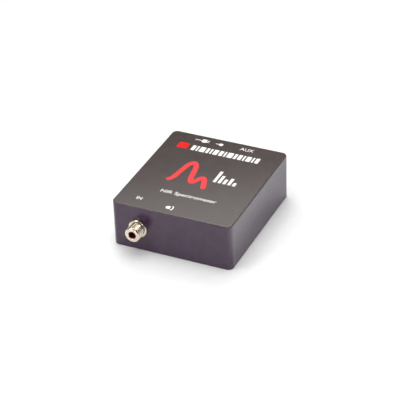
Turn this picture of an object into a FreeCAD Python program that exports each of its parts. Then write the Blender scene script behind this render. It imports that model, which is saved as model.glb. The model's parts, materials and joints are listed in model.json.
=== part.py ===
"""Compact fibre-coupled near-infrared spectrometer, as separate parts.

A small black anodised box holds a folded grating bench.  Light enters by an SMA 905 receptacle
in the front wall, passes a long-pass filter and a slit, and goes by way of the collimating
mirror, the grating and the focusing mirror to a linear detector.  The electronics lie on one
board above the optics, with the ports in the rear wall.

Frame: millimetres, +Z up, the receptacle points to -Y.  The origin is the centre of the base
plate's underside.  Each sub-part is written to parts/NAME.step.
"""
import FreeCAD
import Part
import math
import os

V = FreeCAD.Vector

# ---------------------------------------------------------------- driving dimensions
WIDTH = 52.0              # outside, along X
DEPTH = 59.5              # outside, along Y
HEIGHT = 20.4             # outside, along Z
CORNER_R = 2.4            # upright corners of the box
TOP_EDGE_R = 0.6
BOTTOM_EDGE_R = 0.5
WALL = 2.2
ROOF = 1.8

BEAM_Z = 10.6             # height of the optical axis and of the receptacle
FIBRE_X = -14.2
DETECTOR_X = 9.5
USB_X = -11.2
LED_X = -3.2
AUX_X = 9.2

# 1/4-36 UNS thread and ferrule of the SMA 905 fibre connector
THREAD_R = 3.175
FERRULE_BORE_R = 1.595
FERRULE_DEPTH = 9.5
RECEPTACLE_OUT = 5.95     # from the front wall to the receptacle's tip
FLANGE_R = 4.0            # round flange that seats on the front wall
FLANGE_T = 1.3
FLANGE_BEVEL = 0.3
RELIEF = 0.5              # thread run-out groove in front of the flange
NUT_AF = 8.0
NUT_THICK = 1.0
WASHER_THICK = 0.25

# ---------------------------------------------------------------- what follows from them
HALF_W = WIDTH / 2
HALF_D = DEPTH / 2
INNER_X = HALF_W - WALL
INNER_Y = HALF_D - WALL
CEILING = HEIGHT - ROOF

BASE_T = 2.0
GASKET_T = 0.4
RIM = 1.0                 # wall left outside the base plate
BASE_GAP = 0.1
POST = 4.6                # square corner posts that take the base screws
POST_X = INNER_X - 2.4
POST_Y = INNER_Y - 2.4
MOUNT_X = 17.0            # half spacing of the mounting holes
MOUNT_Y = 20.0
M3_TAP_R = 1.25
M2_R = 0.98
M16_R = 0.75

BENCH_TOP = BASE_T + 2.4
BENCH_X = 23.0
BENCH_FRONT = -27.3
NOSE_FRONT = -26.15
BENCH_REAR = 26.5
BOARD_Z = 15.9            # underside of the main board
BOARD_T = 1.0
BOARD_TOP = BOARD_Z + BOARD_T
BOARD_X = 22.8
BOARD_FRONT = -22.5
BOARD_REAR = 26.6
STANDOFFS = [(x, y) for x in (-20.6, 20.6) for y in (-15.5, 20.0)]
COVER_Z = 15.0
COVER_T = 0.5
PILLARS = [(-2.25, 17.0), (-2.25, -22.5)]
BENCH_SCREWS = [(-20.6, 0.0), (20.6, -3.0), (-16.0, 22.5), (16.0, 22.5)]

FRONT = -HALF_D
TIP_Y = FRONT - RECEPTACLE_OUT
STOP_Y = TIP_Y + FERRULE_DEPTH
SLIT_Y = STOP_Y + 0.3 + 1.0
RECEPTACLE_END = -24.2

# Folded (Czerny-Turner) layout: slit, collimating mirror, grating, focusing mirror, detector
MIRROR_Y = 13.0
GRATING_Y = -13.0
GRATING_X = (FIBRE_X + DETECTOR_X) / 2
ARM_ANGLE = math.degrees(math.atan2(GRATING_X - FIBRE_X, MIRROR_Y - GRATING_Y))
MIRROR_TURN = ARM_ANGLE / 2
GRATING_TURN = -12.4      # puts the first order of 300 lines/mm on the focusing mirror
MIRROR_ROC = 2 * (MIRROR_Y - SLIT_Y)
OPTIC_H = 8.0
OPTIC_T = 3.0
OPTIC_Z = BEAM_Z - OPTIC_H / 2
STAGE_Z = BENCH_TOP + 0.05
STAGE_TOP = OPTIC_Z
PIVOT_R = 1.5
PIVOT_BORE_R = 1.53
LOCK_R = 5.0              # lock screw's distance from the pivot

DET_BOARD_Y = -26.6
DET_FACE_Y = DET_BOARD_Y + 1.0
DET_W = 13.0
DET_LEGS = 10             # in each of the package's two rows
DET_FOOT_Y = -19.3        # clears the corner of the grating mount at the end of its turn
BRACKET_SCREWS = [(DETECTOR_X - 7.4, -20.8), (DETECTOR_X + 7.4, -20.8)]

REAR = HALF_D
USB_Z = BOARD_Z - 1.95
AUX_Z = BOARD_Z - 3.0
LED_Z = 15.0
USB_CONTACTS = 5
USB_PITCH = 0.8
AUX_COLUMNS = 5
AUX_PITCH = 2.0

TAP_FIT = 0.01            # a plain screw in its tapped hole, radial
CLEARANCE = 0.05          # a bench screw in its clearance hole, radial

NODES = {}


# ---------------------------------------------------------------- helpers
def block(x0, x1, y0, y1, z0, z1):
    """A box between two opposite corners."""
    return Part.makeBox(x1 - x0, y1 - y0, z1 - z0, V(x0, y0, z0))


def rod(radius, x, y, z0, z1):
    """An upright cylinder."""
    return Part.makeCylinder(radius, z1 - z0, V(x, y, z0), V(0, 0, 1))


def rod_y(radius, x, z, y0, y1):
    """A cylinder along Y."""
    return Part.makeCylinder(radius, y1 - y0, V(x, y0, z), V(0, 1, 0))


def cone_y(r0, r1, x, z, y0, y1):
    """A cone along Y, of radius r0 at y0 and r1 at y1."""
    return Part.makeCone(r0, r1, y1 - y0, V(x, y0, z), V(0, 1, 0))


def prism(points, rise):
    """The polygon through the points, pushed along the vector rise."""
    loop = [V(*p) for p in points]
    return Part.Face(Part.makePolygon(loop + loop[:1])).extrude(rise)


def hexagon(across_flats, x, y, z0, z1, turn=0.0):
    """An upright hexagonal prism."""
    r = across_flats / math.sqrt(3)
    ring = [math.radians(turn + 60 * k) for k in range(6)]
    return prism([(x + r * math.cos(a), y + r * math.sin(a), z0) for a in ring], V(0, 0, z1 - z0))


def slab(half_x, y0, y1, z0, z1, radius):
    """A plate centred on X = 0 with rounded upright corners."""
    plate = block(-half_x, half_x, y0, y1, z0, z1)
    upright = [e for e in plate.Edges if abs(e.tangentAt(e.FirstParameter).z) > 0.99]
    return plate.makeFillet(radius, upright)


def cut_all(shape, tools):
    for tool in tools:
        shape = shape.cut(tool)
    return shape


def join(shapes):
    shape = shapes[0].multiFuse(shapes[1:]) if len(shapes) > 1 else shapes[0]
    return shape.removeSplitter()


def turned(shape, x, y, angle):
    """Places a shape drawn about the Z axis at x, y, turned by angle."""
    shape = shape.copy()
    shape.rotate(V(0, 0, 0), V(0, 0, 1), angle)
    shape.translate(V(x, y, 0))
    return shape


def keep(name, *solids):
    """Stores a node; several solids stay separate pieces of one node."""
    flat = [s for shape in solids for s in shape.Solids]
    assert flat and all(s.isValid() and s.Volume > 0 for s in flat), name
    NODES[name] = flat[0] if len(flat) == 1 else Part.makeCompound(flat)


def cap_screw(shank_r, head_r, x, y, z_head, head_h, z_end, socket_af):
    """A socket screw that points down: its head stands on z_head."""
    body = join([rod(head_r, x, y, z_head, z_head + head_h), rod(shank_r, x, y, z_end, z_head)])
    top = z_head + head_h
    return body.cut(hexagon(socket_af, x, y, top - 0.6 * head_h, top + 1))


def screw_along_y(shank_r, head_r, x, z, y_head, head_h, y_end, socket_af):
    """A socket screw that points to -Y: its head stands on y_head."""
    screw = cap_screw(shank_r, head_r, 0, 0, 0, head_h, y_end - y_head, socket_af)
    screw.rotate(V(0, 0, 0), V(1, 0, 0), -90)
    screw.translate(V(x, y_head, z))
    return screw


# ---------------------------------------------------------------- casing
def corners(x, y):
    """The four points at plus and minus x and y."""
    return [(sx * x, sy * y) for sx in (-1, 1) for sy in (-1, 1)]


def corner_squares(side, margin, z0, z1):
    """Square columns at the inside corners, side long, reaching margin past the inner walls."""
    columns = []
    for sx in (-1, 1):
        for sy in (-1, 1):
            x = sorted((sx * (INNER_X - side), sx * (INNER_X + margin)))
            y = sorted((sy * (INNER_Y - side), sy * (INNER_Y + margin)))
            columns.append(block(x[0], x[1], y[0], y[1], z0, z1))
    return columns


def rear_cutouts():
    """The openings in the rear wall for the ports and the status light."""
    y0, y1 = INNER_Y - 1, REAR + 1
    usb = block(USB_X - 4.1, USB_X + 4.1, y0, y1, USB_Z - 2.2, USB_Z + 2.2)
    aux = block(AUX_X - 7.25, AUX_X + 7.25, y0, y1, AUX_Z - 3.15, AUX_Z + 3.15)
    light = rod_y(1.05, LED_X, LED_Z, y0, y1)
    return [usb, aux, light]


def housing():
    shell = slab(HALF_W, -HALF_D, HALF_D, 0, HEIGHT, CORNER_R)

    def rim_edges(z):
        return [e for e in shell.Edges if all(abs(v.Z - z) < 1e-6 for v in e.Vertexes)]

    shell = shell.makeFillet(TOP_EDGE_R, rim_edges(HEIGHT))
    shell = shell.makeFillet(BOTTOM_EDGE_R, rim_edges(0.0))
    cavity = slab(INNER_X, -INNER_Y, INNER_Y, -1, CEILING, 1.0)
    posts = corner_squares(POST, 1.0, BASE_T + 0.02, HEIGHT)
    cavity = cut_all(cavity, posts)
    rebate = slab(HALF_W - RIM, -HALF_D + RIM, HALF_D - RIM, -1, BASE_T + GASKET_T, 1.5)
    rebate = cut_all(rebate, posts)
    shell = shell.cut(cavity).cut(rebate)
    screw_holes = [rod(1.0, x, y, 0, 8.0) for x, y in corners(POST_X, POST_Y)]
    fibre_hole = rod_y(THREAD_R + 0.125, FIBRE_X, BEAM_Z, FRONT - 1, -INNER_Y + 1)
    shell = cut_all(shell, screw_holes + [fibre_hole] + rear_cutouts())
    keep("housing", shell)


def base():
    half_x, half_y = HALF_W - RIM - BASE_GAP, HALF_D - RIM - BASE_GAP
    plate = slab(half_x, -half_y, half_y, 0, BASE_T, 1.4)
    for x, y in corners(POST_X, POST_Y):
        plate = plate.cut(Part.makeCone(2.1, 1.05, 1.25, V(x, y, 0), V(0, 0, 1)))
        plate = plate.cut(rod(1.05, x, y, 0, BASE_T + 1))
    taps = [rod(M3_TAP_R, x, y, -1, BASE_T + 1) for x, y in corners(MOUNT_X, MOUNT_Y)]
    bench_taps = [rod(M2_R + TAP_FIT, x, y, 0.4, BASE_T + 1) for x, y in BENCH_SCREWS]
    keep("base_plate", cut_all(plate, taps + bench_taps))

    out_x, out_y = HALF_W - RIM - 0.3, HALF_D - RIM - 0.3
    in_x, in_y = INNER_X + 0.25, INNER_Y + 0.25
    ring = slab(out_x, -out_y, out_y, BASE_T, BASE_T + GASKET_T, 1.3)
    hole = slab(in_x, -in_y, in_y, BASE_T - 1, BASE_T + 1, 0.9)
    ring = cut_all(ring.cut(hole), corner_squares(POST + 0.3, WALL, BASE_T - 1, BASE_T + 1))
    keep("base_gasket", ring)

    screws = []
    for x, y in corners(POST_X, POST_Y):
        head = Part.makeCone(1.9, M2_R, 1.1, V(x, y, 0.12), V(0, 0, 1))
        screw = join([head, rod(M2_R, x, y, 1.0, 6.5)])
        screws.append(screw.cut(hexagon(1.3, x, y, 0, 0.9)))
    keep("base_screws", *screws)


# ---------------------------------------------------------------- optical bench
def stage_places():
    """Pivot, resting turn, and lock screw position of each adjustable stage."""
    places = {}
    for name, x, y, turn, side in (
        ("collimator", FIBRE_X, MIRROR_Y, MIRROR_TURN, 180),
        ("grating", GRATING_X, GRATING_Y, GRATING_TURN, 0),
        ("focus", DETECTOR_X, MIRROR_Y, -MIRROR_TURN, 180),
    ):
        a = math.radians(turn + side + 90)
        lock = (x + LOCK_R * math.cos(a), y + LOCK_R * math.sin(a))
        places[name] = (x, y, turn, side, lock)
    return places


STAGES = stage_places()


def optical_bench():
    plate = slab(BENCH_X, BENCH_FRONT, BENCH_REAR, BASE_T, BENCH_TOP, 0.8)
    plate = cut_all(plate, corner_squares(POST + 0.2, WALL, 0, BENCH_TOP + 1))
    nose = block(FIBRE_X - 5.0, FIBRE_X + 5.0, NOSE_FRONT, -22.9, BASE_T, COVER_Z)
    pillars = [rod(2.2, x, y, BASE_T, COVER_Z) for x, y in PILLARS]
    ribs = []
    for x0, x1 in ((-22.6, -21.4), (21.4, 22.6)):
        ribs.append(block(x0, x1, -12.0, -6.0, BASE_T, BENCH_TOP + 2.0))
    bench = join([plate, nose] + pillars + ribs)
    tools = [rod_y(THREAD_R + 0.02, FIBRE_X, BEAM_Z, BENCH_FRONT - 1, -22.0)]
    tools += [rod(1.7, x, y, 0, BENCH_TOP - 0.5) for x, y in corners(MOUNT_X, MOUNT_Y)]
    tools += [rod(M2_R + CLEARANCE, x, y, 0, BENCH_TOP + 1) for x, y in BENCH_SCREWS]
    tools += [rod(M2_R + TAP_FIT, x, y, BENCH_TOP - 2.2, BENCH_TOP + 1) for x, y in STANDOFFS]
    tools += [rod(M2_R + TAP_FIT, x, y, COVER_Z - 4.0, COVER_Z + 1) for x, y in PILLARS]
    tools += [rod(M16_R + TAP_FIT, x, y, BENCH_TOP - 1.6, BENCH_TOP + 1) for x, y in BRACKET_SCREWS]
    for x, y, _turn, _side, lock in STAGES.values():
        tools.append(rod(PIVOT_R + 0.01, x, y, BENCH_TOP - 1.8, BENCH_TOP + 1))
        tools.append(rod(M16_R + TAP_FIT, lock[0], lock[1], BENCH_TOP - 2.0, BENCH_TOP + 1))
    keep("optical_bench", cut_all(bench, tools))

    heads = [cap_screw(M2_R, 1.85, x, y, BENCH_TOP, 1.2, 0.5, 1.5) for x, y in BENCH_SCREWS]
    keep("bench_screws", *heads)
    pins = [rod(PIVOT_R, p[0], p[1], BENCH_TOP - 1.7, BENCH_TOP + 1.4) for p in STAGES.values()]
    keep("pivot_pins", *[pin.makeChamfer(0.2, [pin.Edges[0], pin.Edges[2]]) for pin in pins])
    locks = []
    for _x, _y, _turn, _side, lock in STAGES.values():
        z = STAGE_Z + 1.9 + 0.03
        locks.append(cap_screw(M16_R, 1.45, lock[0], lock[1], z, 0.8, BENCH_TOP - 1.8, 1.2))
    keep("stage_lock_screws", *locks)


def stage(name, width, plate_r):
    """The turning mount of one optic, with its pivot on the optic's face.

    Drawn with the optic's face on Y = 0, looking to +Y, then turned into place.
    """
    x, y, turn, side, _lock = STAGES[name]
    disc = rod(plate_r, 0, 0, STAGE_Z, STAGE_Z + 1.9)
    seat = block(-width / 2, width / 2, -OPTIC_T - 1.8, 0.2, STAGE_Z, STAGE_TOP)
    back_top = OPTIC_Z + OPTIC_H - 0.4
    back = block(-width / 2, width / 2, -OPTIC_T - 1.8, -OPTIC_T - 0.02, STAGE_Z, back_top)
    mount = join([disc, seat, back])
    mount = mount.cut(rod(PIVOT_BORE_R, 0, 0, STAGE_Z - 1, BENCH_TOP + 1.6))
    mount = mount.cut(rod(1.15, 0, LOCK_R, STAGE_Z - 1, STAGE_Z + 3))
    return turned(mount, x, y, turn + side)


def mirror_blank(name, width):
    """A glass block with a concave spherical face."""
    x, y, turn, side, _lock = STAGES[name]
    blank = block(-width / 2, width / 2, -OPTIC_T, 0.0, OPTIC_Z + 0.02, OPTIC_Z + OPTIC_H)
    hollow = Part.makeSphere(MIRROR_ROC, V(0, MIRROR_ROC - 0.35, BEAM_Z))
    return turned(blank.cut(hollow), x, y, turn + side)


def grating_block():
    """The replica grating: a glass block with a few coarse steps for the ruled face."""
    x, y, turn, side, _lock = STAGES["grating"]
    blank = block(-5.0, 5.0, -OPTIC_T, -0.1, OPTIC_Z + 0.02, OPTIC_Z + OPTIC_H)
    ruled = block(-4.5, 4.5, -0.1, 0.0, OPTIC_Z + 0.5, OPTIC_Z + OPTIC_H - 0.5)
    return turned(join([blank, ruled]), x, y, turn + side)


def optics():
    keep("collimator_mount", stage("collimator", 11.0, 6.3))
    keep("collimating_mirror", mirror_blank("collimator", 11.0))
    keep("grating_mount", stage("grating", 10.0, 6.3))
    keep("diffraction_grating", grating_block())
    keep("focus_mount", stage("focus", 13.0, 6.3))
    keep("focusing_mirror", mirror_blank("focus", 13.0))

    left = block(-9.8, -9.0, -21.5, -9.0, BENCH_TOP, COVER_Z - 0.1)
    lip = block(-9.0, -8.2, -9.8, -9.0, BENCH_TOP, COVER_Z - 0.1)
    left = left.fuse(lip).removeSplitter()
    right = block(4.6, 5.4, -18.7, -6.0, BENCH_TOP, COVER_Z - 0.1)
    keep("light_baffles", left, right)

    teeth = []
    depth, pitch, count = 1.8, 1.5, 6
    for k in range(count):
        y = 2.0 + k * pitch
        teeth.append((21.0, y, BENCH_TOP))
        teeth.append((21.0 - depth, y + pitch / 2, BENCH_TOP))
    outline = teeth + [(21.0, 2.0 + count * pitch, BENCH_TOP)]
    outline += [(22.8, 2.0 + count * pitch, BENCH_TOP), (22.8, 2.0, BENCH_TOP)]
    keep("light_trap", prism(outline, V(0, 0, COVER_Z - 0.4 - BENCH_TOP)))

    cover = block(-18.3, 18.3, -24.6, 19.0, COVER_Z, COVER_Z + COVER_T)
    cover = cover.cut(block(0.0, 30.0, -30.0, -21.6, COVER_Z - 1, COVER_Z + 2))
    cover = cut_all(cover, [rod(M2_R + 0.1, x, y, COVER_Z - 1, COVER_Z + 1) for x, y in PILLARS])
    keep("optics_cover", cover)
    z = COVER_Z + COVER_T
    low_heads = []
    for x, y in PILLARS:
        low_heads.append(cap_screw(M2_R, 1.6, x, y, z, 0.38, COVER_Z - 3.5, 1.2))
    keep("cover_screws", *low_heads)


# ---------------------------------------------------------------- fibre input
def hex_ring(across_flats, corner_r, thick, hole_r, y_back):
    """A hexagonal nut round the fibre axis with its corners turned down; its back is at y_back."""
    ring = hexagon(across_flats, 0, 0, 0, thick).common(rod(corner_r, 0, 0, -1, thick + 1))
    bevel = Part.makeCone(corner_r + 0.8, corner_r - 0.3, 1.1, V(0, 0, thick - 1.1), V(0, 0, 1))
    ring = ring.common(bevel.fuse(rod(corner_r + 0.8, 0, 0, -1, thick - 1.1)).removeSplitter())
    ring = ring.cut(rod(hole_r, 0, 0, -1, thick + 1))
    ring.rotate(V(0, 0, 0), V(1, 0, 0), 90)
    ring.translate(V(FIBRE_X, y_back, BEAM_Z))
    return ring


def fibre_input():
    tube = rod_y(THREAD_R, FIBRE_X, BEAM_Z, TIP_Y, RECEPTACLE_END)
    ends = [e for e in tube.Edges if e.Closed and len(e.Vertexes) == 1]
    tube = tube.makeChamfer(0.25, ends)
    relief_y = FRONT - FLANGE_T - RELIEF
    relief = rod_y(THREAD_R + 1, FIBRE_X, BEAM_Z, relief_y, relief_y + RELIEF)
    relief = relief.cut(rod_y(THREAD_R - 0.25, FIBRE_X, BEAM_Z, relief_y - 1, relief_y + 2))
    flange_y = FRONT - FLANGE_T + FLANGE_BEVEL
    flange = rod_y(FLANGE_R, FIBRE_X, BEAM_Z, flange_y, FRONT)
    bevel = cone_y(FLANGE_R - FLANGE_BEVEL, FLANGE_R, FIBRE_X, BEAM_Z, FRONT - FLANGE_T, flange_y)
    body = join([tube.cut(relief), flange, bevel])
    mouth = cone_y(1.75, FERRULE_BORE_R, FIBRE_X, BEAM_Z, TIP_Y, TIP_Y + 0.15)
    bore = rod_y(FERRULE_BORE_R, FIBRE_X, BEAM_Z, TIP_Y - 1, STOP_Y)
    window = rod_y(1.3, FIBRE_X, BEAM_Z, STOP_Y - 1, RECEPTACLE_END + 1)
    seat = rod_y(2.52, FIBRE_X, BEAM_Z, STOP_Y + 0.3, RECEPTACLE_END + 1)
    keep("fibre_receptacle", cut_all(body, [mouth, bore, window, seat]))

    washer_end = -INNER_Y + WASHER_THICK
    washer = rod_y(4.4, FIBRE_X, BEAM_Z, -INNER_Y, washer_end)
    washer = washer.cut(rod_y(THREAD_R + 0.15, FIBRE_X, BEAM_Z, -INNER_Y - 1, washer_end + 1))
    keep("lock_washer", washer)
    keep("receptacle_nut", hex_ring(NUT_AF, 4.5, NUT_THICK, THREAD_R + 0.02, washer_end + NUT_THICK))

    y = STOP_Y + 0.3
    keep("longpass_filter", rod_y(2.5, FIBRE_X, BEAM_Z, y, y + 1.0))
    y += 1.0
    disc = rod_y(2.5, FIBRE_X, BEAM_Z, y, y + 0.15)
    slit = block(FIBRE_X - 0.05, FIBRE_X + 0.05, y - 1, y + 1, BEAM_Z - 1.0, BEAM_Z + 1.0)
    keep("slit_disc", disc.cut(slit))
    y += 0.15
    ring = rod_y(2.5, FIBRE_X, BEAM_Z, y, y + 0.7)
    ring = ring.cut(rod_y(1.5, FIBRE_X, BEAM_Z, y - 1, y + 2))
    spanner = block(FIBRE_X - 3, FIBRE_X + 3, y + 0.4, y + 1, BEAM_Z - 0.3, BEAM_Z + 0.3)
    keep("slit_retainer", ring.cut(spanner))


# ---------------------------------------------------------------- detector
def detector():
    x0, x1 = DETECTOR_X - 9.4, DETECTOR_X + 9.4
    z0, z1 = BENCH_TOP + 0.2, COVER_Z - 0.2
    frame = block(x0, x1, DET_FACE_Y, DET_FACE_Y + 1.5, BENCH_TOP, z1)
    foot = block(x0, x1, DET_FACE_Y, DET_FOOT_Y, BENCH_TOP, BENCH_TOP + 1.2)
    bracket = frame.fuse(foot).removeSplitter()
    window = block(DETECTOR_X - DET_W / 2 - 0.1, DETECTOR_X + DET_W / 2 + 0.1, -30, -23, 6.6, 15.5)
    tools = [window]
    tools += [rod(M16_R + 0.1, x, y, 0, 10) for x, y in BRACKET_SCREWS]
    side_screws = [(DETECTOR_X - 8.1, BEAM_Z), (DETECTOR_X + 8.1, BEAM_Z)]
    tools += [rod_y(0.52, x, z, DET_FACE_Y - 1, DET_FACE_Y + 3) for x, z in side_screws]
    keep("detector_bracket", cut_all(bracket, tools))
    seat_z, end_z = BENCH_TOP + 1.2, BENCH_TOP - 1.4
    feet = [cap_screw(M16_R, 1.35, x, y, seat_z, 0.9, end_z, 1.2) for x, y in BRACKET_SCREWS]
    keep("bracket_screws", *feet)

    board = block(x0, x1, DET_BOARD_Y, DET_FACE_Y, z0, z1)
    board = cut_all(board, [rod_y(0.52, x, z, -30, -20) for x, z in side_screws])
    keep("detector_board", board)
    studs = []
    for x, z in side_screws:
        stud = screw_along_y(0.5, 0.9, x, z, DET_FACE_Y + 1.5, 0.6, DET_BOARD_Y + 0.1, 0.8)
        studs.append(stud)
    keep("detector_board_screws", *studs)

    px0, px1 = DETECTOR_X - DET_W / 2, DETECTOR_X + DET_W / 2
    front = DET_FACE_Y + 3.4
    package = block(px0, px1, DET_FACE_Y + 0.4, front, BEAM_Z - 4.0, BEAM_Z + 3.9)
    well = block(px0 + 1.0, px1 - 1.0, front - 1.6, front + 1, BEAM_Z - 2.2, BEAM_Z + 2.2)
    rebate = block(px0 + 0.6, px1 - 0.6, front - 0.6, front + 1, BEAM_Z - 2.7, BEAM_Z + 2.7)
    keep("detector_package", cut_all(package, [well, rebate]))
    chip = block(DETECTOR_X - 4.8, DETECTOR_X + 4.8, front - 1.6, front - 1.1, BEAM_Z - 0.8, BEAM_Z + 0.8)
    keep("detector_chip", chip)
    glass = block(px0 + 0.65, px1 - 0.65, front - 0.6, front - 0.05, BEAM_Z - 2.65, BEAM_Z + 2.65)
    keep("detector_window", glass)
    legs = []
    for k in range(DET_LEGS):
        x = DETECTOR_X + (k - (DET_LEGS - 1) / 2) * 1.2
        for z in (BEAM_Z - 3.2, BEAM_Z + 3.2):
            legs.append(block(x - 0.15, x + 0.15, DET_FACE_Y, DET_FACE_Y + 0.4, z - 0.3, z + 0.3))
    keep("detector_pins", *legs)

    # The flex tail rises from the board's top edge and folds back on to the main board.
    t, bend, top = 0.15, 0.8, BOARD_TOP + 0.6
    y_mid, y_end = DET_BOARD_Y + 0.5, -18.6
    outer, inner = bend + t / 2, bend - t / 2
    rise = block(-4, 4, y_mid - t / 2, y_mid + t / 2, z1, top - bend)
    run = block(-4, 4, y_mid + bend, y_end, top - t / 2, top + t / 2)
    arc = Part.makeCylinder(outer, 8, V(-4, y_mid + bend, top - bend), V(1, 0, 0))
    arc = arc.cut(Part.makeCylinder(inner, 10, V(-5, y_mid + bend, top - bend), V(1, 0, 0)))
    quarter = block(-6, 6, y_mid - 1, y_mid + bend, top - bend, top + 1)
    flex = join([rise, arc.common(quarter), run])
    flex.translate(V(DETECTOR_X, 0, 0))
    keep("detector_flex", flex)


# ---------------------------------------------------------------- electronics
def main_board():
    board = slab(BOARD_X, BOARD_FRONT, BOARD_REAR, BOARD_Z, BOARD_TOP, 0.6)
    for sx in (-1, 1):
        x = sorted((sx * (INNER_X - POST - 0.3), sx * HALF_W))
        board = board.cut(block(x[0], x[1], INNER_Y - POST - 0.3, HALF_D, BOARD_Z - 1, BOARD_TOP + 1))
    board = cut_all(board, [rod(1.1, x, y, BOARD_Z - 1, BOARD_TOP + 1) for x, y in STANDOFFS])
    keep("main_board", board)

    spacers = []
    for x, y in STANDOFFS:
        spacer = hexagon(3.5, x, y, BENCH_TOP, BOARD_Z)
        spacer = join([spacer, rod(M2_R, x, y, BENCH_TOP - 2.0, BENCH_TOP)])
        spacers.append(spacer.cut(rod(M2_R + TAP_FIT, x, y, BOARD_Z - 4.0, BOARD_Z + 1)))
    keep("board_standoffs", *spacers)
    heads = [cap_screw(M2_R, 1.85, x, y, BOARD_TOP, 1.2, BOARD_Z - 3.5, 1.5) for x, y in STANDOFFS]
    keep("board_screws", *heads)

    keep("main_processor", block(-7.5, 2.5, -2.0, 8.0, BOARD_TOP, BOARD_TOP + 1.0))
    keep("thermal_pad", block(-6.5, 1.5, -1.0, 7.0, BOARD_TOP + 1.0, CEILING - 0.02))
    chips = [
        (-17.0, -9.0, 7.0, 7.0, 0.9),
        (9.5, -10.0, 8.0, 6.0, 1.0),
        (11.5, 3.0, 8.0, 11.0, 1.0),
        (-13.5, 16.5, 5.0, 5.0, 0.9),
        (-1.0, -11.5, 5.0, 4.0, 1.1),
        (9.0, 17.5, 6.2, 5.2, 1.2),
        (-18.0, 3.0, 3.0, 5.0, 1.1),
    ]
    keep("board_chips", *[
        block(x - w / 2, x + w / 2, y - d / 2, y + d / 2, BOARD_TOP, BOARD_TOP + h)
        for x, y, w, d, h in chips
    ])
    passives = []
    for k in range(8):
        passives.append((-8.0 + 1.9 * k, -16.0, 1.0, 0.5, 0.5))
        passives.append((-9.8 + 1.8 * k, 11.5, 0.8, 1.6, 0.8))
    for k in range(5):
        passives.append((-11.8, -4.0 + 2.2 * k, 1.6, 0.8, 0.8))
        passives.append((5.6, -4.0 + 2.2 * k, 1.6, 0.8, 0.8))
    keep("board_capacitors", *[
        block(x - w / 2, x + w / 2, y - d / 2, y + d / 2, BOARD_TOP, BOARD_TOP + h)
        for x, y, w, d, h in passives
    ])
    can = block(-19.5, -16.3, 9.5, 12.0, BOARD_TOP, BOARD_TOP + 0.8)
    upright = [e for e in can.Edges if abs(e.tangentAt(e.FirstParameter).z) > 0.99]
    keep("crystal", can.makeFillet(0.25, upright))
    socket = block(DETECTOR_X - 5.2, DETECTOR_X + 5.2, -20.4, -16.4, BOARD_TOP, BOARD_TOP + 1.2)
    slot = block(DETECTOR_X - 4.1, DETECTOR_X + 4.1, -21.0, -18.5, BOARD_TOP + 0.45, BOARD_TOP + 0.75)
    keep("flex_connector", socket.cut(slot))
    keep("status_led", block(LED_X - 1.0, LED_X + 1.0, 24.8, 26.0, BOARD_Z - 1.5, BOARD_Z))


def light_pipe():
    pipe = rod_y(1.0, LED_X, LED_Z, 26.15, REAR + 0.1)
    collar = rod_y(1.6, LED_X, LED_Z, INNER_Y - 0.75, INNER_Y - 0.02)
    collar = collar.cut(block(LED_X - 3, LED_X + 3, 20, 30, BOARD_Z - 0.05, BOARD_Z + 3))
    pipe = pipe.cut(block(LED_X - 3, LED_X + 3, 20, INNER_Y - 0.3, BOARD_Z - 0.05, BOARD_Z + 3))
    keep("light_pipe", join([pipe, collar]))


def usb_outline(grow, y, z_top):
    """The socket's five-sided outline, with the two lower corners cut back."""
    w, low, h = 3.85 + grow, 3.1 + grow, 3.9 + 2 * grow
    z = z_top + grow
    return [
        (USB_X - w, y, z),
        (USB_X + w, y, z),
        (USB_X + w, y, z - 0.62 * h),
        (USB_X + low, y, z - h),
        (USB_X - low, y, z - h),
        (USB_X - w, y, z - 0.62 * h),
    ]


def usb_port():
    y0, y1 = 20.3, REAR - 0.3
    top = BOARD_Z - 0.02
    shell = prism(usb_outline(0.0, y0, top), V(0, y1 - y0, 0))
    hollow = prism(usb_outline(-0.3, y0 + 0.5, top), V(0, y1 - y0, 0))
    shell = shell.cut(hollow)
    tabs = []
    for sx in (-1, 1):
        x = sorted((USB_X + sx * 3.8, USB_X + sx * 4.4))
        tabs.append(block(x[0], x[1], 22.0, 23.5, BOARD_Z - 1.2, BOARD_Z - 0.02))
    keep("usb_shell", join([shell] + tabs))
    base = prism(usb_outline(-0.32, y0 + 0.52, top), V(0, 2.6, 0))
    tongue = block(USB_X - 2.6, USB_X + 2.6, y0 + 3.0, y1 - 1.2, BOARD_Z - 2.3, BOARD_Z - 1.4)
    keep("usb_tongue", join([base, tongue]))
    contacts = []
    for k in range(USB_CONTACTS):
        x = USB_X + (k - (USB_CONTACTS - 1) / 2) * USB_PITCH
        contacts.append(block(x - 0.2, x + 0.2, y0 + 3.2, y1 - 1.6, BOARD_Z - 2.4, BOARD_Z - 2.3))
    keep("usb_contacts", *contacts)


def aux_port():
    y0, y1 = 20.4, REAR - 0.3
    z0, z1 = AUX_Z - 2.98, AUX_Z + 2.98
    body = block(AUX_X - 7.1, AUX_X + 7.1, y0, y1, z0, z1)
    cavity = block(AUX_X - 6.2, AUX_X + 6.2, y0 + 2.2, y1 + 1, z0 + 0.8, z1 - 0.8)
    key = block(AUX_X - 2.1, AUX_X + 2.1, y0 + 2.2, y1 + 1, z0 - 1, z0 + 1)
    pins, holes = [], []
    for k in range(AUX_COLUMNS):
        x = AUX_X + (k - (AUX_COLUMNS - 1) / 2) * AUX_PITCH
        for z in (AUX_Z - AUX_PITCH / 2, AUX_Z + AUX_PITCH / 2):
            pins.append(block(x - 0.25, x + 0.25, y0 - 0.5, y1 - 1.0, z - 0.25, z + 0.25))
            holes.append(block(x - 0.27, x + 0.27, y0 - 1, y0 + 3, z - 0.27, z + 0.27))
    keep("aux_shroud", cut_all(body, [cavity, key] + holes))
    keep("aux_pins", *pins)


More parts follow.
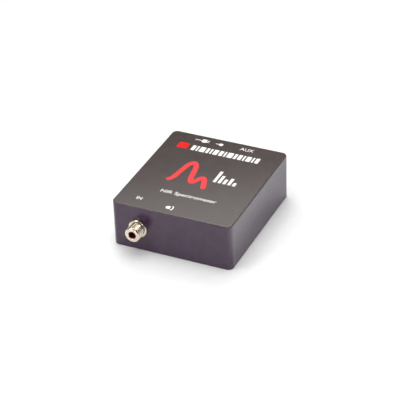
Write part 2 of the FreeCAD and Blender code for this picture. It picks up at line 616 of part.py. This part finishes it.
# ---------------------------------------------------------------- build and write
def main():
    housing()
    base()
    optical_bench()
    optics()
    fibre_input()
    detector()
    main_board()
    light_pipe()
    usb_port()
    aux_port()
    os.makedirs("parts", exist_ok=True)
    for name, shape in NODES.items():
        shape.exportStep(os.path.join("parts", name + ".step"))
    print(len(NODES), "nodes")


main()
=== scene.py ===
"""Looks of the compact fibre-coupled spectrometer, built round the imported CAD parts."""
import bmesh
import bpy
import json
import math
from mathutils import Matrix, Vector


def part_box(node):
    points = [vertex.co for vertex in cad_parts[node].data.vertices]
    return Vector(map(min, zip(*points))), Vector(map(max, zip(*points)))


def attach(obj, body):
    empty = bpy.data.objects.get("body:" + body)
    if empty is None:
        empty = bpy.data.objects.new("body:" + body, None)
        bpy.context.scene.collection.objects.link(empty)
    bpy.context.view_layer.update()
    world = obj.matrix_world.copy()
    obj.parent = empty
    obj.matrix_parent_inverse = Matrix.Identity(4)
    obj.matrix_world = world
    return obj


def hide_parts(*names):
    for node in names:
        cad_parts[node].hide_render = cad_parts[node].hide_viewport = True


MM = 0.001
CAMERA_PLACE = Vector((0.24857, -0.52079, 0.38720))
CAMERA_AIM = Vector((-0.00018, -0.00152, 0.010))
CAMERA_ROLL = math.radians(-2.08)
FOCAL_LENGTH = 151.85     # millimetres, on a 36 mm wide sensor
ROOM_LIGHT = 0.36
FLOOR_HALF = 3.0
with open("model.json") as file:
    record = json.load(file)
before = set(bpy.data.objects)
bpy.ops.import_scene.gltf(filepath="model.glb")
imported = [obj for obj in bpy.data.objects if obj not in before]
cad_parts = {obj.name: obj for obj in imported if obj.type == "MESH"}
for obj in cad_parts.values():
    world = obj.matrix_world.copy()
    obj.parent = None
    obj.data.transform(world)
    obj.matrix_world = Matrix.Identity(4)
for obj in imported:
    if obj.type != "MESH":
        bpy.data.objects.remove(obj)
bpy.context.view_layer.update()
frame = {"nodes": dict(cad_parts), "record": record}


# ---------------------------------------------------------------- node helpers
def link(tree, a, out, b, into):
    tree.links.new(a.outputs[out], b.inputs[into])


def math_node(tree, operation, a, b):
    """A sum of two values, each a number or a socket; gives the result's socket."""
    node = tree.nodes.new("ShaderNodeMath")
    node.operation = operation
    node.use_clamp = True
    for into, value in enumerate((a, b)):
        if isinstance(value, (int, float)):
            node.inputs[into].default_value = value
        else:
            tree.links.new(value, node.inputs[into])
    return node.outputs[0]


# ---------------------------------------------------------------- camera, floor and light
def make_camera():
    data = bpy.data.cameras.new("camera")
    data.sensor_width = 36.0
    data.lens = FOCAL_LENGTH
    data.clip_start, data.clip_end = 0.01, 20.0
    cam = bpy.data.objects.new("camera", data)
    bpy.context.scene.collection.objects.link(cam)
    aim = (CAMERA_AIM - CAMERA_PLACE).to_track_quat("-Z", "Y").to_matrix()
    turn = aim @ Matrix.Rotation(CAMERA_ROLL, 3, "Z")
    cam.matrix_world = Matrix.Translation(CAMERA_PLACE) @ turn.to_4x4()
    bpy.context.scene.camera = cam


def area_light(name, place, target, size, power, mirrored=True):
    """A soft panel that the camera does not see; a mirrored one shows in reflections."""
    data = bpy.data.lights.new(name, "AREA")
    data.shape = "RECTANGLE"
    data.size, data.size_y = size
    data.energy = power
    light = bpy.data.objects.new(name, data)
    bpy.context.scene.collection.objects.link(light)
    light.location = place
    aim = Vector(target) - Vector(place)
    light.rotation_mode = "QUATERNION"
    light.rotation_quaternion = aim.to_track_quat("-Z", "Y")
    light.visible_camera = False
    light.visible_glossy = mirrored


def make_studio():
    world = bpy.data.worlds.new("studio")
    bpy.context.scene.world = world
    world.use_nodes = True
    tree = world.node_tree
    room = tree.nodes["Background"]
    room.inputs["Strength"].default_value = ROOM_LIGHT
    # The room is pale over and behind the table, and dim on the camera's side.
    where = tree.nodes.new("ShaderNodeTexCoord")
    side = tree.nodes.new("ShaderNodeVectorMath")
    side.operation = "DOT_PRODUCT"
    side.inputs[1].default_value = (0.40, -0.75, 0.53)
    link(tree, where, "Generated", side, 0)
    ramp = tree.nodes.new("ShaderNodeValToRGB")
    ramp.color_ramp.elements[0].position = 0.2
    ramp.color_ramp.elements[0].color = (1.0, 0.985, 0.98, 1)
    ramp.color_ramp.elements[1].position = 0.85
    ramp.color_ramp.elements[1].color = (0.20, 0.19, 0.185, 1)
    tree.links.new(side.outputs["Value"], ramp.inputs["Fac"])
    link(tree, ramp, "Color", room, "Color")

    middle = (0, 0, 0.01)
    # A spot on the floor behind the object, seen from the camera.
    behind = Vector((-0.432, 0.902, 0)) * 0.32
    area_light("ceiling_box", (0, 0, 0.60), middle, (0.50, 0.50), 2.26)
    area_light("back_strip", behind + Vector((0, 0, 0.40)), middle, (0.45, 0.07), 0.79)
    area_light("back_low_strip", behind + Vector((0, 0, 0.29)), middle, (0.45, 0.07), 0.045)
    area_light("roof_glow", (-0.075, 0.13, 0.145), middle, (0.12, 0.03), 0.019)
    area_light("front_fill", (-0.10, -0.14, 0.13), middle, (0.08, 0.08), 0.085)
    area_light("low_front_fill", (0.03, -0.25, 0.07), middle, (0.08, 0.08), 0.12)
    area_light("right_fill", (0.12, -0.035, 0.055), (0.07, 0, 0), (0.06, 0.03), 0.036,
               mirrored=False)
    bpy.context.scene.view_settings.view_transform = "Standard"


def make_floor():
    edge = FLOOR_HALF
    mesh = bpy.data.meshes.new("floor")
    mesh.from_pydata([(-edge, -edge, 0), (edge, -edge, 0), (edge, edge, 0), (-edge, edge, 0)],
                     [], [(0, 1, 2, 3)])
    floor = bpy.data.objects.new("floor", mesh)
    bpy.context.scene.collection.objects.link(floor)
    floor.data.materials.append(surface("floor_paper", (0.93, 0.93, 0.93), (0.96, 0.96, 0.96), 0.9,
                                        grain=0.004, bump=0.0))


# ---------------------------------------------------------------- materials
def surface(name, dark, light, rough, metallic=0.0, grain=0.002, spread=0.08, bump=0.15,
            bump_grain=0.00008, bump_depth=0.000004, coat=0.0, specular=0.5,
            transmission=0.0, alpha=1.0, stretch=(1, 1, 1), anisotropic=0.0):
    """A material whose colour, roughness and fine relief all vary.

    grain and bump_grain are the sizes, in metres, of the colour's and of the relief's variation.
    """
    mat = bpy.data.materials.new(name)
    mat.use_nodes = True
    tree = mat.node_tree
    shader = tree.nodes["Principled BSDF"]
    shader.inputs["Metallic"].default_value = metallic
    shader.inputs["Specular IOR Level"].default_value = specular
    shader.inputs["IOR"].default_value = 1.5
    shader.inputs["Coat Weight"].default_value = coat
    shader.inputs["Coat Roughness"].default_value = 0.12
    shader.inputs["Transmission Weight"].default_value = transmission
    shader.inputs["Alpha"].default_value = alpha
    shader.inputs["Anisotropic"].default_value = anisotropic

    place = tree.nodes.new("ShaderNodeTexCoord")
    scale = tree.nodes.new("ShaderNodeMapping")
    scale.inputs["Scale"].default_value = stretch
    link(tree, place, "Object", scale, "Vector")

    cloud = tree.nodes.new("ShaderNodeTexNoise")
    cloud.inputs["Scale"].default_value = 1.0 / grain
    cloud.inputs["Detail"].default_value = 5.0
    link(tree, scale, "Vector", cloud, "Vector")
    tint = tree.nodes.new("ShaderNodeValToRGB")
    tint.color_ramp.elements[0].position = 0.3
    tint.color_ramp.elements[0].color = (*dark, 1)
    tint.color_ramp.elements[1].position = 0.7
    tint.color_ramp.elements[1].color = (*light, 1)
    link(tree, cloud, "Fac", tint, "Fac")
    link(tree, tint, "Color", shader, "Base Color")

    wear = tree.nodes.new("ShaderNodeMapRange")
    wear.inputs["To Min"].default_value = max(0.02, rough - spread)
    wear.inputs["To Max"].default_value = rough + spread
    link(tree, cloud, "Fac", wear, "Value")
    link(tree, wear, "Result", shader, "Roughness")

    if bump:
        fine = tree.nodes.new("ShaderNodeTexNoise")
        fine.inputs["Scale"].default_value = 1.0 / bump_grain
        fine.inputs["Detail"].default_value = 3.0
        link(tree, scale, "Vector", fine, "Vector")
        relief = tree.nodes.new("ShaderNodeBump")
        relief.inputs["Strength"].default_value = bump
        relief.inputs["Distance"].default_value = bump_depth
        link(tree, fine, "Fac", relief, "Height")
        link(tree, relief, "Normal", shader, "Normal")
    return mat


def anodised(name, side, top, rough, worn_and_highlight, wall_painted_sheen, sheen_low, sheen_high):
    """Bead-blasted black anodising, violet on the walls; the roof's warmer tone is painted light, a tint
    for warmer light falling from above.

    The rims' colour is partly rubbed wear and partly a painted highlight along the edges; the rims are
    found by the way the surface faces.  The long side walls turn to a lighter colour from a lower
    height up to a higher one, a little lower down towards the front: a painted reflection, lighter on top.
    """
    mat = surface(name, side[0], side[1], rough, grain=0.0035, spread=0.04, bump=0.35,
                  bump_grain=0.00016, bump_depth=0.000005, specular=0.6)
    tree = mat.node_tree
    shader = tree.nodes["Principled BSDF"]
    old = shader.inputs["Base Color"].links[0].from_socket
    cloud = next(n for n in tree.nodes if n.type == "TEX_NOISE")
    # Painted light: the roof takes a warmer copy of the colour, standing in for warm light from above.
    roof = tree.nodes.new("ShaderNodeValToRGB")
    roof.color_ramp.elements[0].position = 0.3
    roof.color_ramp.elements[0].color = (*top[0], 1)
    roof.color_ramp.elements[1].position = 0.7
    roof.color_ramp.elements[1].color = (*top[1], 1)
    link(tree, cloud, "Fac", roof, "Fac")
    facing = tree.nodes.new("ShaderNodeNewGeometry")
    axes = tree.nodes.new("ShaderNodeSeparateXYZ")
    link(tree, facing, "Normal", axes, "Vector")

    # Painted reflection: the long side walls turn lighter towards the top and stay darker near the bottom,
    # for the brighter floor that the glossy wall mirrors higher up.
    where = tree.nodes.new("ShaderNodeVectorMath")
    where.operation = "DOT_PRODUCT"
    where.inputs[1].default_value = (0, -0.12, 1)
    link(tree, tree.nodes["Texture Coordinate"], "Object", where, 0)
    height = tree.nodes.new("ShaderNodeMapRange")
    height.interpolation_type = "SMOOTHSTEP"
    height.inputs["From Min"].default_value = sheen_low
    height.inputs["From Max"].default_value = sheen_high
    tree.links.new(where.outputs["Value"], height.inputs["Value"])
    sideways = math_node(tree, "MULTIPLY", axes.outputs["X"], axes.outputs["X"])
    sheen_mask = math_node(tree, "MULTIPLY", sideways, height.outputs["Result"])
    wall = tree.nodes.new("ShaderNodeMix")
    wall.data_type = "RGBA"
    wall.inputs[7].default_value = (*wall_painted_sheen, 1)
    tree.links.new(sheen_mask, wall.inputs["Factor"])
    tree.links.new(old, wall.inputs[6])

    # Mixed by the upward part of the normal, so the painted warm tone sits on the roof.
    roof_warm_light_mix = tree.nodes.new("ShaderNodeMix")
    roof_warm_light_mix.data_type = "RGBA"
    roof_warm_light_mix.clamp_factor = True
    tree.links.new(axes.outputs["Z"], roof_warm_light_mix.inputs["Factor"])
    tree.links.new(wall.outputs[2], roof_warm_light_mix.inputs[6])
    tree.links.new(roof.outputs["Color"], roof_warm_light_mix.inputs[7])

    # With nz the upward part of the normal, nz²(1 - nz²) is 1/4 half-way round a rim, 0 on flats.
    square = math_node(tree, "MULTIPLY", axes.outputs["Z"], axes.outputs["Z"])
    rim = math_node(tree, "MULTIPLY", square, math_node(tree, "SUBTRACT", 1.0, square))
    scuff = tree.nodes.new("ShaderNodeTexNoise")
    scuff.inputs["Scale"].default_value = 1.0 / 0.0011
    scuff.inputs["Detail"].default_value = 4.0
    link(tree, tree.nodes["Texture Coordinate"], "Object", scuff, "Vector")
    rub_and_highlight = tree.nodes.new("ShaderNodeMapRange")
    rub_and_highlight.inputs["From Min"].default_value = 0.30
    rub_and_highlight.inputs["From Max"].default_value = 0.75
    rub_and_highlight.inputs["To Min"].default_value = 0.8
    rub_and_highlight.inputs["To Max"].default_value = 3.6
    link(tree, scuff, "Fac", rub_and_highlight, "Value")
    # Rims turn lighter: partly rubbed wear, partly a painted highlight along the edges.
    rim_wear_and_highlight = math_node(tree, "MULTIPLY", rim, rub_and_highlight.outputs["Result"])
    edge = tree.nodes.new("ShaderNodeMix")
    edge.data_type = "RGBA"
    edge.inputs[7].default_value = (*worn_and_highlight, 1)
    tree.links.new(rim_wear_and_highlight, edge.inputs["Factor"])
    tree.links.new(roof_warm_light_mix.outputs[2], edge.inputs[6])
    tree.links.new(edge.outputs[2], shader.inputs["Base Color"])
    return mat


def make_materials():
    made = {}
    # Painted light on the casing: lighter tops on the long side walls, a warmer roof, and rims that are
    # partly a painted highlight.
    made["black_anodised"] = anodised("black_anodised", rough=0.23,
                                      side=((0.036, 0.015, 0.040), (0.047, 0.021, 0.053)),
                                      top=((0.036, 0.021, 0.017), (0.045, 0.027, 0.022)),
                                      worn_and_highlight=(0.110, 0.080, 0.085), wall_painted_sheen=(0.105, 0.092, 0.112),
                                      sheen_low=6 * MM, sheen_high=22 * MM)
    made["nickel_plate"] = surface("nickel_plate", (0.58, 0.50, 0.39), (0.80, 0.73, 0.62), 0.2,
                                   metallic=1.0, grain=0.0008, spread=0.06, bump=0.25,
                                   bump_grain=0.00012, stretch=(1, 6, 1))
    made["steel_screws"] = surface("steel_screws", (0.36, 0.36, 0.37), (0.55, 0.55, 0.56), 0.28,
                                   metallic=1.0, grain=0.0006, bump=0.3)
    made["gasket"] = surface("gasket", (0.012, 0.012, 0.012), (0.03, 0.03, 0.03), 0.7, grain=0.001)
    made["bench_black"] = surface("bench_black", (0.018, 0.018, 0.02), (0.035, 0.034, 0.037), 0.5,
                                  grain=0.003, bump=0.4, bump_grain=0.0003)
    made["mirror_glass"] = surface("mirror_glass", (0.86, 0.72, 0.44), (0.92, 0.79, 0.52), 0.05,
                                   metallic=1.0, grain=0.004, spread=0.02, bump=0.0)
    made["grating_glass"] = surface("grating_glass", (0.55, 0.58, 0.66), (0.74, 0.68, 0.62), 0.2,
                                    metallic=1.0, grain=0.0012, bump=0.5, bump_grain=0.00005,
                                    stretch=(1, 1, 0.02), anisotropic=0.8)
    made["filter_glass"] = surface("filter_glass", (0.42, 0.006, 0.010), (0.58, 0.016, 0.022), 0.08,
                                   grain=0.002, spread=0.02, bump=0.0, coat=0.6)
    made["slit_foil"] = surface("slit_foil", (0.05, 0.05, 0.055), (0.1, 0.1, 0.11), 0.4, metallic=1.0,
                                grain=0.0006)
    made["baffle_black"] = surface("baffle_black", (0.008, 0.008, 0.008), (0.02, 0.02, 0.02), 0.9,
                                   grain=0.0006, bump=0.8, bump_grain=0.00012, bump_depth=0.00003)
    made["cover_sheet"] = surface("cover_sheet", (0.025, 0.025, 0.027), (0.045, 0.045, 0.048), 0.45,
                                  grain=0.004, bump=0.3, stretch=(1, 0.1, 1))
    made["ceramic"] = surface("ceramic", (0.50, 0.46, 0.40), (0.64, 0.60, 0.54), 0.55, grain=0.0007,
                              bump=0.4)
    made["sensor_die"] = surface("sensor_die", (0.04, 0.03, 0.08), (0.12, 0.08, 0.16), 0.12,
                                 grain=0.0005, stretch=(1, 1, 0.05), bump=0.2)
    made["sensor_window"] = surface("sensor_window", (0.80, 0.88, 0.88), (0.9, 0.95, 0.95), 0.04,
                                    grain=0.003, spread=0.02, bump=0.0, transmission=0.9, alpha=0.4)
    made["gold_contacts"] = surface("gold_contacts", (0.72, 0.50, 0.16), (0.90, 0.70, 0.30), 0.22,
                                    metallic=1.0, grain=0.0005)
    made["board_laminate"] = surface("board_laminate", (0.006, 0.07, 0.03), (0.014, 0.12, 0.055), 0.3,
                                     grain=0.0016, bump=0.4, bump_grain=0.0004, bump_depth=0.00002,
                                     coat=0.3)
    made["flex_laminate"] = surface("flex_laminate", (0.42, 0.18, 0.03), (0.60, 0.30, 0.06), 0.3,
                                    grain=0.0008, stretch=(6, 1, 1), coat=0.3)
    made["chip_epoxy"] = surface("chip_epoxy", (0.018, 0.018, 0.02), (0.035, 0.035, 0.038), 0.55,
                                 grain=0.0007, bump=0.5, bump_grain=0.0001)
    made["capacitor_ceramic"] = surface("capacitor_ceramic", (0.32, 0.20, 0.11), (0.52, 0.38, 0.26), 0.4,
                                        grain=0.0006)
    made["thermal_silicone"] = surface("thermal_silicone", (0.30, 0.35, 0.42), (0.42, 0.47, 0.54), 0.7,
                                       grain=0.0008, bump=0.5, bump_grain=0.0003)
    made["connector_plastic"] = surface("connector_plastic", (0.014, 0.014, 0.014),
                                        (0.035, 0.035, 0.034), 0.42, grain=0.0012, bump=0.4)
    made["led_body"] = surface("led_body", (0.72, 0.70, 0.60), (0.85, 0.84, 0.76), 0.25, grain=0.0006)
    made["light_pipe"] = surface("light_pipe", (0.72, 0.78, 0.72), (0.88, 0.92, 0.88), 0.12,
                                 grain=0.0008, transmission=0.6, alpha=0.8)
    made["white_ink"] = surface("white_ink", (0.88, 0.87, 0.86), (0.98, 0.97, 0.96), 0.5, grain=0.0006,
                                bump=0.3, bump_grain=0.00012)
    made["red_ink"] = surface("red_ink", (0.74, 0.022, 0.026), (0.84, 0.034, 0.040), 0.45,
                              grain=0.0008, bump=0.3, bump_grain=0.00012, specular=0.3)
    made["deep_red_ink"] = surface("deep_red_ink", (0.74, 0.004, 0.006), (0.84, 0.008, 0.010), 0.5,
                                   grain=0.0008, bump=0.3, bump_grain=0.00012, specular=0.12)
    # Painted reflection: dark red for the red filter glass mirrored in the bore's metal walls.
    made["bore_painted_red_reflection"] = surface("bore_painted_red_reflection", (0.10, 0.006, 0.005), (0.16, 0.012, 0.010), 0.35,
                                   grain=0.0004, bump=0.3, bump_grain=0.0001)
    return made


def dress_nodes(made):
    slots = {part["node"]: part["material_slot"] for part in frame["record"]["subparts"]}
    for node, obj in frame["nodes"].items():
        obj.data.materials.clear()
        obj.data.materials.append(made[slots[node]])


# ---------------------------------------------------------------- pieces
# The fibre receptacle, in millimetres.
THREAD_R = 3.175
THREAD_PITCH = 25.4 / 36
THREAD_DEPTH = 0.6134 * THREAD_PITCH
RELIEF_R = 2.745
RELIEF_WIDTH = 0.5
FLANGE_T = 1.3
BORE_R = 1.595
LIGHT_R = 1.3             # light's way through to the filter
SEAT_R = 2.52             # the filter's seat
FERRULE_DEPTH = 9.5
AROUND = 144              # points round the axis


def new_piece(name, bm, mat, smooth=False):
    mesh = bpy.data.meshes.new(name)
    bmesh.ops.recalc_face_normals(bm, faces=bm.faces)
    bm.to_mesh(mesh)
    bm.free()
    for poly in mesh.polygons:
        poly.use_smooth = smooth
    obj = bpy.data.objects.new(name, mesh)
    bpy.context.scene.collection.objects.link(obj)
    obj.data.materials.append(mat)
    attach(obj, "casing")
    return obj


def threaded_receptacle(mat, bore_mat):
    """The receptacle with its real 1/4-36 thread between the tip and the flange."""
    low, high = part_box("fibre_receptacle")
    cx, cz = (low.x + high.x) / 2, (low.z + high.z) / 2
    tip, end = low.y, high.y
    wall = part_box("housing")[0].y
    seat = wall - FLANGE_T * MM
    stop = tip + FERRULE_DEPTH * MM
    first, last = tip + 0.3 * MM, seat - RELIEF_WIDTH * MM
    flange_r = (high.x - low.x) / 2 / MM

    def plain(r):
        return lambda angle: r * MM

    def helix(y):
        """The thread's radius round the axis at y; it fades in over the first part of a turn."""
        def radius(angle):
            turn = (-y / (THREAD_PITCH * MM) - angle / (2 * math.pi)) % 1.0
            slope = abs(turn - 0.5) * 2
            cut = min(1.0, max(0.0, (slope - 0.125) / 0.625))
            fade = min(1.0, max(0.0, (y - first) / (0.4 * THREAD_PITCH * MM)))
            return (THREAD_R - THREAD_DEPTH * cut * fade) * MM
        return radius

    # Each row is a place along the axis and the outline's radius there: the bore, the tip ...
    rows = [
        (stop, plain(LIGHT_R)), (stop, plain(BORE_R)), (tip + 0.5 * MM, plain(BORE_R)),
        (tip + 0.17 * MM, plain(BORE_R)), (tip + 0.13 * MM, plain(1.61)),
        (tip + 0.02 * MM, plain(1.73)), (tip, plain(1.76)),
        (tip, plain(2.87)), (tip + 0.03 * MM, plain(2.94)), (tip + 0.25 * MM, plain(3.16)),
        (tip + 0.28 * MM, plain(THREAD_R)),
    ]
    # ... the thread ...
    steps = int((last - first) / (THREAD_PITCH * MM / 14))
    for k in range(steps + 1):
        y = first + (last - first) * k / steps
        rows.append((y, helix(y)))
    # ... the thread's relief, the flange, and the barrel behind the wall with the filter's seat.
    rows += [
        (last + 0.02 * MM, plain(RELIEF_R)), (seat - 0.05 * MM, plain(RELIEF_R)), (seat, plain(2.8)),
        (seat, plain(flange_r - 0.33)), (seat + 0.02 * MM, plain(flange_r - 0.28)),
        (seat + 0.27 * MM, plain(flange_r - 0.03)), (seat + 0.31 * MM, plain(flange_r)),
        (wall - 0.04 * MM, plain(flange_r)), (wall, plain(flange_r - 0.03)), (wall, plain(THREAD_R)),
        (end - 0.25 * MM, plain(THREAD_R)), (end, plain(2.925)), (end, plain(SEAT_R)),
        (stop + 0.3 * MM, plain(SEAT_R)), (stop + 0.3 * MM, plain(LIGHT_R)),
    ]
    bm = bmesh.new()
    rings = []
    for y, radius in rows:
        ring = []
        for k in range(AROUND):
            a = 2 * math.pi * k / AROUND
            r = radius(a)
            ring.append(bm.verts.new((cx + r * math.cos(a), y, cz + r * math.sin(a))))
        rings.append(ring)
    for one, two in zip(rings, rings[1:] + rings[:1]):
        for k in range(AROUND):
            n = (k + 1) % AROUND
            bm.faces.new((one[k], one[n], two[n], two[k]))
    obj = new_piece("fibre_receptacle_threaded", bm, mat, smooth=True)
    # Behind its mouth the ferrule bore is painted dark red, a painted reflection of the red filter glass
    # deep inside.
    obj.data.materials.append(bore_mat)
    for poly in obj.data.polygons:
        across = math.hypot(poly.center.x - cx, poly.center.z - cz)
        if across < 1.6 * MM and tip + 0.45 * MM < poly.center.y < stop:
            poly.material_index = 1
    split = obj.modifiers.new("split", "EDGE_SPLIT")
    split.split_angle = math.radians(30)
    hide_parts("fibre_receptacle")


# Print on the roof: positions in millimetres from the box's front left corner.
INK = 0.015 * MM          # the print's height above the roof, and its depth below
HEADER_Y = 47.2
HEADER_HEIGHT = 3.8
HEADER_GAP = 0.62
HEADER_WIDTHS = [1.6, 0.8, 2.4, 1.2, 0.8, 2.0, 1.6, 0.8, 2.4, 1.2, 1.6, 0.8, 2.0, 0.8, 1.6]
box_low, box_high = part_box("housing")


def roof(x, y):
    return Vector((box_low.x + x * MM, box_low.y + y * MM))


def print_shape(name, loops, mat):
    """Flat ink: each loop is a list of (x, y) corners in roof millimetres."""
    bm = bmesh.new()
    for loop in loops:
        base = [bm.verts.new((*roof(x, y), box_high.z - INK)) for x, y in loop]
        face = bm.faces.new(base)
        up = bmesh.ops.extrude_face_region(bm, geom=[face])["geom"]
        for v in up:
            if isinstance(v, bmesh.types.BMVert):
                v.co.z += 2 * INK
    new_piece(name, bm, mat)


def print_stroke(name, points, width, mat):
    """Ink along a line of even width, with round ends, as one mesh.

    Inside a tight bend the two edges would fold over, so an edge waits there at its last clear point.
    """
    bm = bmesh.new()
    half = width / 2
    count = len(points)
    edges = {1: [], -1: []}
    for k, (x, y) in enumerate(points):
        x0, y0 = points[max(0, k - 1)]
        x1, y1 = points[min(count - 1, k + 1)]
        length = math.hypot(x1 - x0, y1 - y0)
        nx, ny = -(y1 - y0) / length, (x1 - x0) / length
        for side, edge in edges.items():
            px, py = x + side * half * nx, y + side * half * ny
            clear = all(math.hypot(px - qx, py - qy) > 0.97 * half for qx, qy in points)
            edge.append((px, py) if clear or not edge else edge[-1])
    rows = [[bm.verts.new((*roof(px, py), box_high.z - INK)) for px, py in row]
            for row in zip(edges[1], points, edges[-1])]
    for one, two in zip(rows, rows[1:]):
        for side in (0, 1):
            bm.faces.new((one[side], one[side + 1], two[side + 1], two[side]))
    for row in (rows[0], rows[-1][::-1]):
        middle, start = row[1].co.copy(), row[0].co - row[1].co
        arc = [row[0]]
        for j in range(1, 10):
            step = Matrix.Rotation(math.pi * j / 10, 3, "Z") @ start
            arc.append(bm.verts.new(middle + step))
        arc.append(row[2])
        for one, two in zip(arc, arc[1:]):
            bm.faces.new((row[1], one, two))
    bmesh.ops.remove_doubles(bm, verts=list(bm.verts), dist=0.002 * MM)
    up = bmesh.ops.extrude_face_region(bm, geom=list(bm.faces))["geom"]
    for v in up:
        if isinstance(v, bmesh.types.BMVert):
            v.co.z += 2 * INK
    new_piece(name, bm, mat)


def disc(cx, cy, r, count=40):
    return [(cx + r * math.cos(2 * math.pi * k / count), cy + r * math.sin(2 * math.pi * k / count))
            for k in range(count)]


def bar(x0, x1, y0, y1):
    return [(x0, y0), (x1, y0), (x1, y1), (x0, y1)]


def print_text(name, words, centre, width, height, weight, mat):
    """One line of plain lettering, scaled to its measured size; weight thickens its strokes."""
    curve = bpy.data.curves.new(name, "FONT")
    curve.body = words
    curve.align_x, curve.align_y = "LEFT", "BOTTOM"
    curve.size = 1.0
    curve.resolution_u = 6
    curve.offset = weight
    probe = bpy.data.objects.new(name + "_probe", curve)
    bpy.context.scene.collection.objects.link(probe)
    bpy.context.view_layer.update()
    mesh = bpy.data.meshes.new_from_object(probe.evaluated_get(bpy.context.evaluated_depsgraph_get()))
    bpy.data.objects.remove(probe)
    xs = [v.co.x for v in mesh.vertices]
    ys = [v.co.y for v in mesh.vertices]
    sx = width * MM / (max(xs) - min(xs))
    sy = height * MM / (max(ys) - min(ys))
    mid = roof(*centre)
    bm = bmesh.new()
    bm.from_mesh(mesh)
    for v in bm.verts:
        v.co = Vector((mid.x + (v.co.x - (max(xs) + min(xs)) / 2) * sx,
                       mid.y + (v.co.y - (max(ys) + min(ys)) / 2) * sy, box_high.z + INK))
    bmesh.ops.solidify(bm, geom=list(bm.faces), thickness=2 * INK)
    new_piece(name, bm, mat)


def catmull(points, per=8):
    """A smooth curve through the points."""
    out = []
    pts = [points[0]] + points + [points[-1]]
    for k in range(1, len(pts) - 2):
        p0, p1, p2, p3 = pts[k - 1:k + 3]
        for j in range(per):
            t = j / per
            out.append(tuple(
                0.5 * (2 * p1[i] + (p2[i] - p0[i]) * t + (2 * p0[i] - 5 * p1[i] + 4 * p2[i] - p3[i]) * t * t
                       + (3 * p1[i] - p0[i] - 3 * p2[i] + p3[i]) * t ** 3) for i in (0, 1)))
    out.append(points[-1])
    return out


def arc(cx, cy, r, start, end, count=10):
    """Points round a centre, from start to end in degrees."""
    turns = [math.radians(start + (end - start) * k / count) for k in range(count + 1)]
    return [(cx + r * math.cos(a), cy + r * math.sin(a)) for a in turns]


def rounded_bar(x0, x1, y0, y1, r):
    """A rectangle with round corners."""
    points = arc(x1 - r, y1 - r, r, 0, 90, 6) + arc(x0 + r, y1 - r, r, 90, 180, 6)
    return points + arc(x0 + r, y0 + r, r, 180, 270, 6) + arc(x1 - r, y0 + r, r, 270, 360, 6)


def print_roof(white, red, deep_red):
    print_text("label_in", "IN", (9.6, 6.3), 2.4, 2.0, 0.010, white)
    print_text("label_aux", "AUX", (35.2, 55.5), 6.0, 2.1, 0.004, white)
    print_text("label_kind", "NIR Spectrometer", (27.3, 14.4), 24.2, 2.8, 0.004, white)
    # Front symbol: a small lamp with the light that it throws.
    lamp = arc(23.1, 4.4, 0.95, 90, 270) + [(24.1, 3.45), (24.1, 5.35)]
    print_shape("symbol_front", [lamp], white)
    print_stroke("symbol_front_ray", arc(23.4, 4.4, 1.85, -42, 42), 0.5, white)
    # Plug symbol over the data port.
    plug = [bar(11.6, 15.0, 55.4, 55.8), rounded_bar(14.8, 16.9, 54.4, 56.8, 0.5),
            bar(16.8, 18.1, 54.8, 55.25), bar(16.8, 18.1, 55.95, 56.4)]
    print_shape("symbol_data", plug, white)
    print_shape("symbol_status", [bar(21.1, 22.6, 55.2, 55.6), disc(23.5, 55.4, 0.95, 28)], white)
    # A plain trace of a spectrum with bars beside it.
    trace = catmull([(14.3, 23.6), (15.6, 26.0), (17.2, 35.5), (19.2, 38.4), (21.2, 35.0), (22.6, 27.0),
                     (24.2, 24.6), (26.0, 28.0), (27.4, 29.0), (28.8, 26.4), (30.0, 22.6)])
    print_stroke("graphic_trace", trace, 2.3, red)
    first_x, pitch, width, foot = 31.8, 2.1, 1.3, 28.0
    tops = [36.4, 33.6, 31.6, 33.0, 30.4]
    lefts = [first_x + pitch * k for k in range(len(tops))]
    bars = [bar(x, x + width, foot, top) for x, top in zip(lefts, tops)]
    print_shape("graphic_bars", bars, white)
    # Generic header: a red block and a row of line-spectrum bars.
    print_shape("header_block", [rounded_bar(6.5, 11.2, HEADER_Y, 51.6, 0.7)], deep_red)
    lines, x = [], 13.0
    for width in HEADER_WIDTHS:
        lines.append(bar(x, x + width, HEADER_Y, HEADER_Y + HEADER_HEIGHT))
        x += width + HEADER_GAP
    print_shape("header_lines", lines, white)


made = make_materials()
make_camera()
make_studio()
make_floor()
dress_nodes(made)
threaded_receptacle(made["nickel_plate"], made["bore_painted_red_reflection"])
print_roof(made["white_ink"], made["red_ink"], made["deep_red_ink"])
